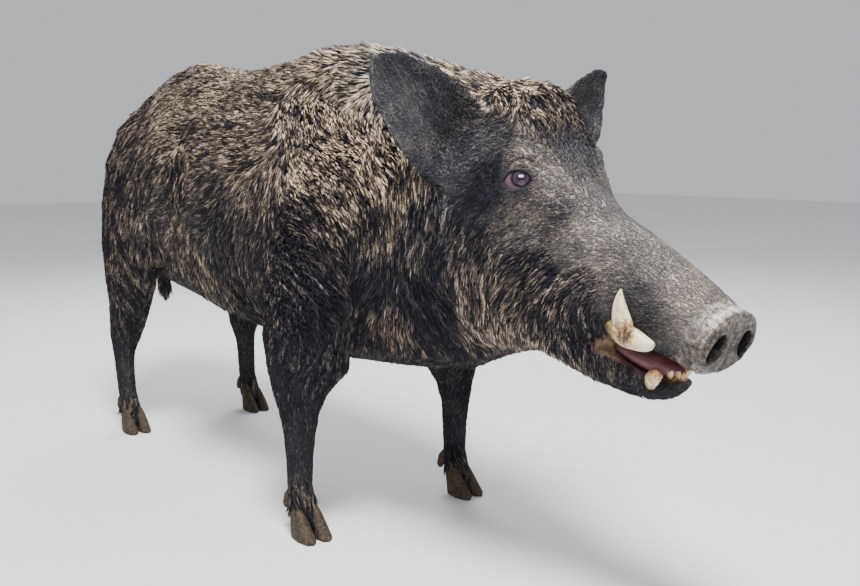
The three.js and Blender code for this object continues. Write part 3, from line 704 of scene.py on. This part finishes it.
def mouth_share(places):
    """1 on the lining of the mouth, 0 outside it."""
    x, y, z = folded(places).T
    roof, floor, wall = (np.interp(x, *line) for line in (MOUTH_ROOF, MOUTH_FLOOR, MOUTH_WALL))
    inside = smooth(roof + 0.006 - z, 0, 0.004) * smooth(z - floor + 0.006, 0, 0.004)
    return inside * smooth(wall - y, -0.004, 0.004) * smooth(x, 0.515, 0.53) * (1 - smooth(x, 0.66, 0.68))


def ear_share(places):
    x, y, z = folded(places).T
    return smooth(y, EAR_ROOT, 0.15) * (z > EAR_LOW) * (x > EAR_REAR)


def mirrored(moves, places):
    """Moves worked out on the left side, turned over for places on the right."""
    return moves * np.where(places[:, 1:2] < 0, (1, -1, 1), (1, 1, 1))


def widened_ears(places):
    """The ears a little larger in their own plane, for what the skin's depth and smoothing take off them."""
    away = folded(places) - EAR_MIDDLE
    away -= (away @ EAR_OUT)[:, None] * EAR_OUT
    to_tip = EAR_TIP - folded(places)
    drawn = to_tip * (TIP_DRAWN * bell(lengths(to_tip), 0, TIP_REACH))[:, None]
    return places + mirrored((away * EAR_MORE + drawn) * ear_share(places)[:, None], places)


def sculpt_eyes(places):
    """Opens the lids over the eyeballs and folds the skin round them."""
    along, up, out = eye_place(places)
    ratio = lid_ratio(along, up)
    edge = np.maximum(ratio, 1e-3)
    rim = ball_height(along / edge, up / edge)
    lid = rim + 2.0 + 0.8 * bell(ratio, 1.16, 0.12)
    outside = lid + (out - lid) * smooth(ratio, 1.05, 2.0)
    fold, groove, brow = creases(along, up)
    tear, _ = tear_line(along, up)
    outside += 2.0 * fold - 2.0 * groove + 5.0 * brow - 1.2 * tear * (ratio > 1)
    outside -= 1.6 * hollow_behind(along, up)
    outside += 0.8 * bell(ratio, 1.45, 0.16) * (up < 0)
    inside = ball_height(along, up) - 2.5
    wanted = inside + (outside - inside) * smooth(ratio, 0.93, 1.03)
    near = (np.hypot(along, up) < EYE_FADE[1]) & (np.abs(out) < EYE_REACH)
    fade = 1 - smooth(np.hypot(along, up), *EYE_FADE)
    push = np.where(near, (wanted - out) * fade, 0) * MM
    return places + mirrored(push[:, None] * EYE_OUT, places)


def sculpt_snout(places):
    """Rounds the disc, rolls its rim, sinks the nostrils and wrinkles the hide behind it."""
    across, up, out = snout_place(places)
    ratio = np.hypot(across / SNOUT_HALF[0], up / SNOUT_HALF[1])
    hole = nostril_ratio(across, up)
    front = 3.0 - 3.0 * ratio**4 + 1.2 * bell(ratio, 0.84, 0.08) - 1.6 * bell(across, 0, 3) * (ratio < 0.8)
    front += 1.6 * bell(hole, 1.16, 0.14)
    front -= NOSTRIL["deep"] * (1 - smooth(hole, 0.62, 1.0))
    face = (1 - smooth(ratio, 0.82, 0.97)) * (out > -34)
    roll = sum(high * bell(out, middle, wide) for high, middle, wide in SNOUT_FOLDS)
    roll += 4.0 * smooth(out, -26, -8) * smooth(across, 15, 45)
    around = smooth(ratio, 0.8, 1.0) * (out > -60) * (ratio < 1.6)
    wrinkle = noise(places * (2.4, 0.9, 1.0), 0.010, 8) * 0.9 * smooth(out, -60, -30)
    moved = places + face[:, None] * (front - out)[:, None] * SNOUT_OUT * MM
    side = unit(np.stack([up * SNOUT_UP[0], across, up * SNOUT_UP[2]], axis=1) + 1e-9)
    above = 0.45 + 0.55 * smooth(up, -20, 20)
    return moved + mirrored(side * ((roll * above + wrinkle) * around)[:, None] * MM, places)


def near_detail(middles):
    """Where the skin needs its finest mesh: round the eyes, on the snout and along the mouth."""
    along, up, out = eye_place(middles)
    _, _, ahead = snout_place(middles)
    x, _, z = middles.T
    mouth = (x > 0.52) & (z < 0.45) & (x < 0.70)
    eye = (np.hypot(along, up) < FINEST_EYE) & (np.abs(out) < EYE_DEPTH)
    return eye | (ahead > FINEST_SNOUT) | mouth


def make_skin():
    """The flesh nodes as one mesh, smoothed, set in by the coat's depth and sculpted on the head."""
    eyeballs = {f"eye_{side}": 0 for side in SIDES}
    mesh = remeshed(mesh_of("flesh", *node_shape({**FLESH, **eyeballs})), VOXEL)
    middles = face_middles(mesh)
    mesh = split_finer(mesh, np.flatnonzero((middles[:, 0] > FINE_FROM) | (ear_share(middles) > 0)))
    places = places_of(mesh)
    edges = edges_of(mesh)
    body = 1 - smooth(places[:, 0], 0.2, 0.3)
    trunk = smooth(places[:, 2], 0.2, 0.3)
    places = relaxed(places, edges, ROUNDS["all"])
    places = relaxed(places, edges, ROUNDS["ears"], ear_share(places))
    places = relaxed(places, edges, ROUNDS["body"], body * (LEG_SMOOTHED + (1 - LEG_SMOOTHED) * trunk))
    move_to(mesh, places)
    places -= normals_of(mesh) * (coat_at(places)[1] + EARS_THINNED * ear_share(places))[:, None]
    places = widened_ears(relaxed(places, edges, ROUNDS["inset"]))
    move_to(mesh, places)
    mesh = split_finer(mesh, np.flatnonzero(near_detail(face_middles(mesh))))
    places = places_of(mesh)
    places = relaxed(places, edges_of(mesh), ROUNDS["detail"], near_detail(places).astype(float))
    move_to(mesh, in_box(sculpt_snout(sculpt_eyes(places))))
    return mesh


def mark_hide(mesh):
    """Writes on the skin's points how light, warm, bare and wet it is, and the lie of the coat. The lightness
    holds painted shade on the skin under a long coat and a painted highlight over the snout's top.
    """
    places = places_of(mesh)
    lie, _, length, light, warm = coat_at(places)
    along, up, out = eye_place(places)
    near = (np.abs(out) < EYE_DEPTH).astype(float)
    _, rise, ahead = snout_place(places)
    light = light + 0.1 * creases(along, up)[2] * near + streaks(places, lie, 0.006, 0.012, 31) * 0.09
    # painted shade: the skin under a long coat darker, so that the gaps between the tufts read dark
    light = light * (1 - 0.8 * smooth(length, 0.012, 0.022))
    light -= 0.22 * (1 - smooth(lid_ratio(along, up), 1.35, 1.75)) * near
    # the bare snout's lightness: darker on the disc's face, and a painted highlight over its top just behind
    # the disc
    snout_tone_and_highlight = 0.2 - 0.25 * smooth(ahead, -7, -1) + 0.95 * bell(ahead, -13, 14) * smooth(rise, -5, 40)
    bare = snout_share(places)
    light += (snout_tone_and_highlight - light) * bare
    mark(mesh, "hide", light, warm, bare, mouth_share(places))
    lies = mesh.attributes.new("lie", "FLOAT_VECTOR", "POINT")
    lies.data.foreach_set("vector", lie.astype(np.float32).ravel())


def mark_face(mesh):
    """Writes on the skin's points how dark, brown or red the face is there. The dark is partly the face's own
    (the lids' rims, the tear line, the lip's edge) and partly painted shade: under the upper lid, in the
    crease over it, in the hollow behind the eye, in the nostrils and in the groove behind the snout's disc.
    """
    places = places_of(mesh)
    along, up, out = eye_place(places)
    near = (np.abs(out) < EYE_DEPTH).astype(float)
    # groove is the crease over the lid; below it is painted dark as shade in it
    fold, groove, _ = (arc * near for arc in creases(along, up))
    tear, down = tear_line(along, up)
    across, rise, ahead = snout_place(places)
    x, y, z = folded(places).T
    mouth = mouth_share(places)
    # the lids' dark rim, wider over the eye as painted shade under the upper lid
    lid_rim_and_shade = bell(lid_ratio(along, up), 1.04, np.where(up > 0, 0.24, 0.15)) * near
    # painted shade in the hollow behind the eye
    hollow = hollow_behind(along, up) * near
    # painted shade: near-black inside the nostrils
    nostril = (1 - smooth(nostril_ratio(across, rise), 0.95, 1.08)) * (ahead > -45) * (ahead < 1)
    # painted shade in the groove behind the snout's disc
    behind = bell(ahead + 4 * noise(places, 0.012, 9), -21, 3.5) * (np.hypot(across, rise) < 85)
    lip = smooth(x, 0.605, 0.62) * smooth(0.384 - z, 0, 0.004) * (1 - mouth)
    # the dark: lid rims, tear line and lip edge are the face's own colour; the rest is painted shade
    shades_and_darks = [lid_rim_and_shade * 0.9, groove * 0.75, tear * near * down, hollow * 0.7, nostril, lip * 0.8, behind * 0.5]
    corner = bell(x, 0.53, 0.022) * bell(z, 0.425, 0.02) * (y < 0.075)
    browns = [fold * 0.45, mouth * smooth(0.575 - x, 0, 0.03), corner * 0.8]
    red = np.maximum(bell(np.hypot(along - 19, up + 1), 0, 4.5), tear * (1 - down) * 0.8) * near
    mark(mesh, "face", np.maximum.reduce(shades_and_darks), np.maximum.reduce(browns), red)


# ---- the coat ----

SEED = 20
WIDTH_SHARE = 0.063  # of a tuft's length
WIDTH_MORE = 0.6 * MM
LAYERS = (0.75, 3.6)  # how many tufts lie over each point where the coat is short and where it is long
SHORT, SHORTISH, LONG = 8 * MM, 15 * MM, 24 * MM
WIDEST = 0.42  # of the way along a tuft
TUFT = np.array([[0, 1, 2], [3, 2, 1], [0, 3, 1], [0, 2, 3]])  # its faces: root, right edge, left edge, tip
LENGTHS, RISES, WIDTHS = (0.7, 1.15), (0.55, 1.1), (0.7, 1.25)  # from least to most, of what the chart gives
SWIRL, STRAY = 0.35, 0.08  # how far the lie wanders, by places and tuft by tuft
LOCK_SHARE, LOCK_REACH, LOCK_PULL = 0.2, 24 * MM, 0.5  # tufts that lead a lock, and how they draw the others
TONES = {"streak": 0.44, "patch": 0.12, "tuft": 0.34, "lock": 0.12}  # how much each changes the lightness
PLAIN = 0.87  # how much less it changes where the coat is short
PATCH = 0.003  # of the map, across
SECTION_ENDS = (-0.6, -0.25, 0.06, 0.29)  # the x where rump, flank, shoulder, neck and head part
FORELEG_TOP, HINDLEG_TOP = 0.36, 0.42
REGIONS = {  # each piece of coat: the line that its unwrap winds round
    "rump": ((-1.05, 0, 0.58), (-0.6, 0, 0.58)),
    "flank": ((-0.6, 0, 0.57), (-0.25, 0, 0.57)),
    "shoulder": ((-0.25, 0, 0.57), (0.06, 0, 0.57)),
    "neck": ((0.06, 0, 0.56), (0.29, 0, 0.56)),
    "head": ((0.29, 0, 0.56), (0.70, 0, 0.43)),
    "ears": ((0.32, 0, 0.66), (0.29, 0.24, 0.80)),
    "forelegs": ((-0.03, 0.176, 0.42), (-0.01, 0.176, 0.0)),
    "hindlegs": ((-0.84, 0.161, 0.42), (-0.83, 0.161, 0.0)),
}


def region_of(places):
    """The number of the coat piece that each place belongs to."""
    x, y, z = folded(places).T
    chosen = np.digitize(x, SECTION_ENDS)
    names = list(REGIONS)
    chosen[(z < FORELEG_TOP) & (x < 0.12) & (y > 0.1)] = names.index("forelegs")
    chosen[(z < HINDLEG_TOP) & (x < SECTION_ENDS[0])] = names.index("hindlegs")
    chosen[(x > EAR_REAR) & (x < 0.36) & (y > EAR_ROOT) & (z > EAR_LOW)] = names.index("ears")
    return chosen


def bare_share(places):
    """1 where no hair grows."""
    along, up, out = eye_place(places)
    tear, _ = tear_line(along, up)
    lids = np.maximum.reduce([1 - smooth(lid_ratio(along, up), 1.3, 1.6), tear, creases(along, up)[1]])
    return np.maximum.reduce([snout_share(places), mouth_share(places), lids * (np.abs(out) < EYE_DEPTH)])


def layers_for(length):
    return LAYERS[0] + (LAYERS[1] - LAYERS[0]) * smooth(length, SHORT, LONG)


def width_for(length):
    return WIDTH_SHARE * length + WIDTH_MORE


def roots_on(mesh, random):
    """Where the tufts grow, and the skin's normals there."""
    places, corners, normals = places_of(mesh), triangles_of(mesh), normals_of(mesh)
    a, b, c = (places[corners[:, k]] for k in range(3))
    area = lengths(np.cross(b - a, c - a)) / 2
    middles = (a + b + c) / 3
    length = coat_at(middles)[2]
    wanted = area * layers_for(length) / (0.5 * length * width_for(length)) * (1 - bare_share(middles))
    count = np.floor(wanted + random.random(len(wanted))).astype(int)
    owner = np.repeat(np.arange(len(count)), count)
    first, second = random.random((2, len(owner)))
    flip = first + second > 1
    first[flip], second[flip] = 1 - first[flip], 1 - second[flip]
    shares = np.stack([1 - first - second, first, second], axis=1)[:, :, None]
    root = (places[corners[owner]] * shares).sum(1)
    normal = unit((normals[corners[owner]] * shares).sum(1))
    return root, normal


def locks_of(root, random):
    """For each tuft the number of the tuft in the middle of its lock."""
    count = max(1, int(len(root) * LOCK_SHARE))
    chosen = random.choice(len(root), count, replace=False)
    tree = KDTree(count)
    for index, place in enumerate(root[chosen]):
        tree.insert(place, index)
    tree.balance()
    owner = np.array([tree.find(place)[1] for place in root])
    return chosen[owner]


def tuft_points(root, normal, lie, depth, length, random):
    """Each tuft's four corners, its own length, and the number of the tuft that leads its lock."""
    count = len(root)
    swirl = np.stack([noise(root, 0.06, 11 + axis) for axis in range(3)], axis=1) * SWIRL
    lie = lie + swirl + random.normal(0, STRAY, (count, 3))
    lie = unit(lie - normal * (lie * normal).sum(1, keepdims=True))
    length = length * random.uniform(*LENGTHS, count)
    rise = depth * random.uniform(*RISES, count)
    tip = root + lie * length[:, None] + normal * rise[:, None]
    lock = locks_of(root, random)
    near = np.clip(1 - lengths(root - root[lock]) / LOCK_REACH, 0, 1)
    tip = tip + (tip[lock] - tip) * (LOCK_PULL * near)[:, None]
    edge = unit(np.cross(normal, lie)) * (width_for(length) * random.uniform(*WIDTHS, count) / 2)[:, None]
    middle = root + (tip - root) * WIDEST + normal * (rise * 0.3)[:, None]
    start = root - normal * np.minimum(depth * 0.3, 2 * MM)[:, None]
    points = in_box(np.stack([start, middle - edge, middle + edge, tip], axis=1))
    return points, lie, length, lock


def tuft_values(root, lie, light, short, lock, random):
    """The lightness at each tuft's four corners. Long tufts are dark at the root, partly their own colour and
    partly painted shade for the gaps between them; short ones even.
    """
    spread = streaks(root, lie, 0.0045, 0.013, 5) * TONES["streak"] + noise(root, 0.04, 6) * TONES["patch"]
    own, lead = random.uniform(-1, 1, (2, len(root)))
    spread = (spread + own * TONES["tuft"] + lead[lock] * TONES["lock"]) * (1 - PLAIN * short)
    at_tip = np.clip(0.04 + light * 0.74 + spread * (0.7 + 0.9 * light), 0, 1.2) * (1 - short)
    at_tip += np.clip(light + spread, 0.05, 1) * short
    # dark roots of long tufts: partly the bristles' own colour, partly painted shade in the gaps between
    # tufts
    at_root = at_tip * (0.05 + 0.8 * short)
    at_middle = at_root + (at_tip - at_root) * 0.6
    return np.stack([at_root, at_middle, at_middle, at_tip], axis=1)


def grow_coat(skin, material):
    random = np.random.default_rng(SEED)
    root, normal = roots_on(skin, random)
    lie, depth, length, light, warm = coat_at(root)
    points, lie, length, lock = tuft_points(root, normal, lie, depth, length, random)
    short = 1 - smooth(length, SHORT, SHORTISH)
    values = tuft_values(root, lie, light, short, lock, random)
    region = region_of(root)
    for index, (name, line) in enumerate(REGIONS.items()):
        for side, on_side in (("right", root[:, 1] <= 0), ("left", root[:, 1] > 0)):
            rows = np.flatnonzero((region == index) & on_side)
            faces = (TUFT + (np.arange(len(rows)) * 4)[:, None, None]).reshape(-1, 3)
            mesh = mesh_of(f"coat_{name}_{side}", points[rows].reshape(-1, 3), faces)
            mark(mesh, "coat", values[rows].ravel(), np.repeat(warm[rows], 4), np.repeat(1 - short[rows], 4))
            lay_out(mesh, root[rows], *np.array(line))
            mesh.materials.append(material)
            piece = stand(new_object(mesh.name, mesh))
            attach(piece, "root")


def lay_out(mesh, root, line_start, line_end):
    """The OFBake map: each tuft is a small patch at its root's place on an unwrap round the body."""
    line = line_end - line_start
    away = folded(root) - line_start
    reach = away @ line / (line @ line)
    out = away - reach[:, None] * line
    across = np.cross(line / np.linalg.norm(line), (0, 1, 0))
    angle = np.arctan2(out @ across, out[:, 1])
    columns = int(math.ceil(math.sqrt(len(root))))
    order = np.lexsort((angle, np.argsort(np.argsort(reach)) // columns))
    cell = np.empty(len(root), int)
    cell[order] = np.arange(len(root))
    corner = np.stack([cell // columns, cell % columns], axis=1) / columns
    patch = min(PATCH, 0.8 / columns)
    shape = np.array([[0.5, 0], [0, WIDEST], [1, WIDEST], [0.5, 1]]) * patch
    uv = corner[:, None, None, :] + shape[TUFT][None]
    layer = mesh.uv_layers.new(name="OFBake")
    layer.uv.foreach_set("vector", uv.astype(np.float32).ravel())


# ---- the small parts ----


def piece_for(name, mesh, material):
    """Puts a mesh in the place of a small CAD node."""
    mesh.shade_smooth()
    mesh.materials.append(material)
    piece = stand(new_object(f"fine_{name}", mesh))
    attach(piece, "root")
    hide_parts(name)


def refined(name, voxel, rounds, material):
    """A smooth piece with a small CAD node's own shape."""
    places, faces = node_shape({name: 0})
    mesh = remeshed(mesh_of(name, places, faces), voxel)
    move_to(mesh, in_box(relaxed(places_of(mesh), edges_of(mesh), rounds)))
    piece_for(name, mesh, material)


def curve_through(rows, steps):
    """A smooth curve through rows of numbers."""
    rows = np.array(rows, float)
    padded = np.concatenate([2 * rows[:1] - rows[1:2], rows, 2 * rows[-1:] - rows[-2:-1]])
    share = np.arange(steps)[:, None] / steps
    spans = []
    for before, start, end, after in zip(padded, padded[1:], padded[2:], padded[3:]):
        bend = share**2 * (before - 2.5 * start + 2 * end - 0.5 * after)
        twist = share**3 * (1.5 * (start - end) + 0.5 * (after - before))
        spans.append(start + 0.5 * share * (end - before) + bend + twist)
    return np.concatenate([*spans, rows[-1:]])


def capped_rings(count, around):
    """The faces of a stack of rings that closes on two more points, which come after the rings."""
    here = np.arange(count * around).reshape(count, around)
    following = np.roll(here, -1, axis=1)
    a, b = here[:-1].ravel(), following[:-1].ravel()
    walls = np.stack([a, b, b + around, a, b + around, a + around], axis=1)
    ends = np.full(around, here.size)
    first = np.stack([following[0], here[0], ends], axis=1)
    last = np.stack([here[-1], following[-1], ends + 1], axis=1)
    return np.concatenate([walls.reshape(-1, 3), first, last])


def tapered(sections, steps=6, around=18):
    """A closed tooth through sections in mm: x and z of both edges, the middle's y and half the width."""
    rings = curve_through(sections, steps)
    turns = np.arange(around) / around * 2 * math.pi
    one_edge, other_edge = rings[:, [0, 4, 1]], rings[:, [2, 4, 3]]
    middle, arm = (one_edge + other_edge) / 2, (other_edge - one_edge) / 2
    thick = rings[:, 5, None] * (0, 1, 0)
    places = middle[:, None] + arm[:, None] * np.cos(turns)[:, None] + thick[:, None] * np.sin(turns)[:, None]
    places = np.concatenate([places.reshape(-1, 3), middle[[0, -1]]]) * MM
    return places, capped_rings(len(rings), around)


def joined_up(parts, voxel, rounds, flip=1):
    """One smooth mesh from overlapping solids, turned over to the other side where flip is -1."""
    places, faces = together(parts)
    mesh = remeshed(mesh_of("joined", places * (1, flip, 1), faces), voxel)
    move_to(mesh, relaxed(places_of(mesh), edges_of(mesh), rounds))
    return mesh


TOOTH_VOXEL, TONGUE_VOXEL, CLAW_VOXEL = 0.9 * MM, 1.5 * MM, 2 * MM
TUSK_CRESCENT = [
    (560, 440, 562, 437, 65, 1.5),
    (571, 450, 577, 428, 68, 7.5),
    (590, 452, 596, 420, 71, 10),
    (613, 447, 615, 418, 71, 10),
    (631, 438, 630, 418, 69, 8),
    (642, 431, 638, 421, 66.5, 3.5),
]
TUSK_POINT = [
    (580, 440, 616, 436, 72, 8),
    (580, 456, 611, 454, 73.5, 8.5),
    (582.5, 471, 604.5, 469, 75, 7),
    (587, 484, 598.5, 483, 75.5, 4.5),
    (592, 494, 594.5, 494, 74.5, 1.2),
]
CANINE = [
    (604, 361, 616, 361, 29, 5.5),
    (602.5, 369, 620, 367, 30, 8),
    (604, 379, 626, 375, 32, 8.5),
    (610, 386.5, 630, 381, 33, 7),
    (619, 389.5, 628, 386, 33.5, 3),
]
TONGUE = [
    (500, 426, 496, 410, 0, 14),
    (540, 421, 534, 396, 0, 26),
    (580, 411, 576, 382, 0, 29),
    (604, 405, 600, 376, 0, 26),
    (620, 398, 616, 374, 0, 20),
    (634, 391, 630, 374, 0, 13),
    (639, 386, 637, 376, 0, 6),
]
GUM = [
    (602, 377, 602, 364, 0, 17),
    (620, 377, 620, 364, 0, 16),
    (634, 378, 636, 367, 0, 11),
    (640, 378, 642, 373, 0, 5),
]
TOOTH_PITCH = 5.6  # mm from one incisor to the next


def make_tusks(material):
    for side, flip in SIDES.items():
        tusk = joined_up([tapered(TUSK_CRESCENT), tapered(TUSK_POINT)], TOOTH_VOXEL, 5, flip)
        x, _, z = places_of(tusk).T
        rear = smooth(0.597 - x, 0, 0.026) * (1 - smooth(z, 0.452, 0.466))
        low = bell(x, 0.604, 0.016) * bell(z, 0.438, 0.018)
        point = 0.22 * bell(x, 0.597, 0.007) * smooth(z, 0.455, 0.47)
        streak = noise(places_of(tusk) * (3, 1, 0.6), 0.008, 41) * 0.3
        stain = rear * (0.74 + streak) + low * (0.9 + streak) + point + 0.1
        mark(tusk, "stain", np.clip(stain, 0, 1))
        piece_for(f"upper_tusk_{side}", tusk, material)
        canine = joined_up([tapered(CANINE)], TOOTH_VOXEL, 5, flip)
        x, _, z = places_of(canine).T
        mark(canine, "stain", 0.46 + 0.3 * smooth(z, 0.377, 0.389) + 0.3 * (1 - smooth(z, 0.362, 0.368)))
        piece_for(f"lower_canine_{side}", canine, material)


def make_incisors(material):
    """Six worn teeth in a row on the lower jaw's gum."""
    parts = [tapered(GUM, steps=4, around=16)]
    for place in (-2.5, -1.5, -0.5, 0.5, 1.5, 2.5):
        y = place * TOOTH_PITCH
        front = 642 - place**2 * 1.9
        worn = 1.5 * math.sin(place * 2.3)
        tooth = [
            (front - 11, 372, front - 2, 369, y, 2.3),
            (front - 8, 377, front + 1, 375, y * 1.03, 2.8),
            (front - 5, 383 + worn, front + 3, 381 + worn, y * 1.06, 2.7),
            (front - 2, 387 + worn, front + 3, 386 + worn, y * 1.08, 1.6),
        ]
        parts.append(tapered(tooth, steps=4, around=12))
    mesh = joined_up(parts, TOOTH_VOXEL, 4)
    _, _, z = places_of(mesh).T
    mark(mesh, "stain", 0.5 + 0.4 * (1 - smooth(z, 0.374, 0.381)))
    piece_for("lower_incisors", mesh, material)


def make_small_parts():
    ivory = ivory_material()
    dark, brown = (0.016, 0.012, 0.009), (0.075, 0.055, 0.036)
    horn = plain_material("horn", dark, brown, 6 * MM, 0.75, 0.8 * MM, Specular_IOR_Level=0.2)
    flesh = plain_material("tongue", (0.10, 0.036, 0.042), (0.16, 0.066, 0.07), 10 * MM, 0.4, 0.4 * MM)
    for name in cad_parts:
        if "claw" in name:
            refined(name, CLAW_VOXEL, 6, horn)
    piece_for("tongue", joined_up([tapered(TONGUE)], TONGUE_VOXEL, 4), flesh)
    make_tusks(ivory)
    make_incisors(ivory)


# ---- the eyes ----

BALL_RINGS, BALL_AROUND = 43, 64  # the eyeball's rings and the points round each
IRIS_SCALE = 25  # mm from the iris's middle that its material calls 1
SPOKES = 220.0  # how fast the iris's rays follow each other
IRIS_RINGS = [
    (0, (0.008, 0.005, 0.008)), (0.2, (0.012, 0.006, 0.011)), (0.25, (0.032, 0.019, 0.038)),
    (0.31, (0.012, 0.007, 0.015)), (0.38, (0.045, 0.026, 0.052)), (0.44, (0.008, 0.004, 0.009)),
    (0.53, (0.01, 0.005, 0.011)), (0.6, (0.065, 0.038, 0.053)), (0.76, (0.095, 0.054, 0.068)),
    (1, (0.05, 0.018, 0.022)),
]


def eye_material():
    """Pupil, ringed violet-brown iris, dark rim and pinkish white, by the distance from the iris's middle."""
    nodes = Nodes("eye")
    reach, turn, _, _ = nodes.marks("iris")
    wobble = nodes.math("MULTIPLY_ADD", nodes.noise(4 * MM, 3.0), 0.10, -0.05)
    spoke = nodes.math("MULTIPLY", nodes.math("SINE", nodes.math("MULTIPLY", turn, SPOKES)), 0.012)
    value = nodes.math("ADD", nodes.math("ADD", reach, wobble), spoke)
    return nodes.finish(nodes.ramp(value, *IRIS_RINGS), 0.07, Specular_IOR_Level=0.25)


def make_eyes():
    material = eye_material()
    tilt = np.linspace(0, math.pi, BALL_RINGS + 2)[1:-1, None]
    turn = np.arange(BALL_AROUND)[None] / BALL_AROUND * 2 * math.pi
    along = np.append(BALL_HALF[0] * np.sin(tilt) * np.cos(turn), [0, 0])
    up = np.append(BALL_HALF[1] * np.sin(tilt) * np.sin(turn), [0, 0])
    out = np.append(np.cos(tilt) * np.ones_like(turn), [1, -1]) * BALL_HALF[2] - BALL_DEPTH
    ball = np.array(EYE_MIDDLE) + np.stack([along, up, out], axis=1) @ (EYE_ALONG, EYE_UP, EYE_OUT) * MM
    faces = capped_rings(BALL_RINGS, BALL_AROUND)
    reach = np.hypot(along - IRIS[0], up - IRIS[1]) / IRIS_SCALE
    angle = np.arctan2(up - IRIS[1], along - IRIS[0]) / (2 * math.pi) + 0.5
    for side, flip in SIDES.items():
        mesh = mesh_of(f"ball_{side}", ball * (1, flip, 1), faces[:, ::flip])
        mark(mesh, "iris", reach, angle)
        piece_for(f"eye_{side}", mesh, material)


# ---- stage ----

FLOOR_HALF = 12
LIGHTS = {  # the place, the aim, the size in metres and the power in watts
    "key": ((1.4, -0.9, 3.3), (0.1, 0, 0.5), 1.2, 270),
    "fill": ((3.2, -2.2, 1.6), (0.2, 0, 0.5), 2.4, 45),
    "rim": ((-2.2, 1.6, 2.6), (0, 0, 0.6), 1.6, 80),
}


def set_camera():
    data = bpy.data.cameras.new("view")
    data.lens = CAMERA["lens"]
    data.sensor_width = 36
    data.clip_start = 0.05
    camera = new_object("view", data)
    camera.location = Vector(CAMERA["place"]) + Vector((FORE, 0, 0))
    camera.rotation_euler = (math.radians(90 + CAMERA["pitch"]), 0, math.radians(CAMERA["yaw"] - 90))
    bpy.context.scene.camera = camera


def area_light(name, place, aim, size, power):
    data = bpy.data.lights.new(name, "AREA")
    data.shape = "DISK"
    data.size = size
    data.energy = power
    light = new_object(name, data)
    light.location = place
    light.rotation_euler = (Vector(aim) - Vector(place)).to_track_quat("-Z", "Y").to_euler()


def set_stage():
    world = bpy.data.worlds.new("studio")
    world.use_nodes = True
    background = world.node_tree.nodes["Background"]
    background.inputs["Color"].default_value = (0.93, 0.95, 1.0, 1)
    background.inputs["Strength"].default_value = 0.62
    bpy.context.scene.world = world
    corners = np.array([[-1, -1, 0], [1, -1, 0], [1, 1, 0], [-1, 1, 0]], float) * FLOOR_HALF
    floor = new_object("floor", mesh_of("floor", corners, np.array([[0, 1, 2, 3]])))
    pale = plain_material("pale_floor", (0.78, 0.78, 0.78), (0.82, 0.82, 0.82), 0.5, 0.8, 0.1 * MM)
    floor.data.materials.append(pale)
    for name, row in LIGHTS.items():
        area_light(name, *row)


def main():
    set_camera()
    set_stage()
    skin_mesh = make_skin()
    mark_hide(skin_mesh)
    mark_face(skin_mesh)
    skin_mesh.shade_smooth()
    skin_mesh.materials.append(skin_material())
    skin = stand(new_object("skin", skin_mesh))
    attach(skin, "root")
    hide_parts(*FLESH)
    grow_coat(skin_mesh, coat_material())
    make_small_parts()
    make_eyes()


main()
bpy.context.view_layer.update()
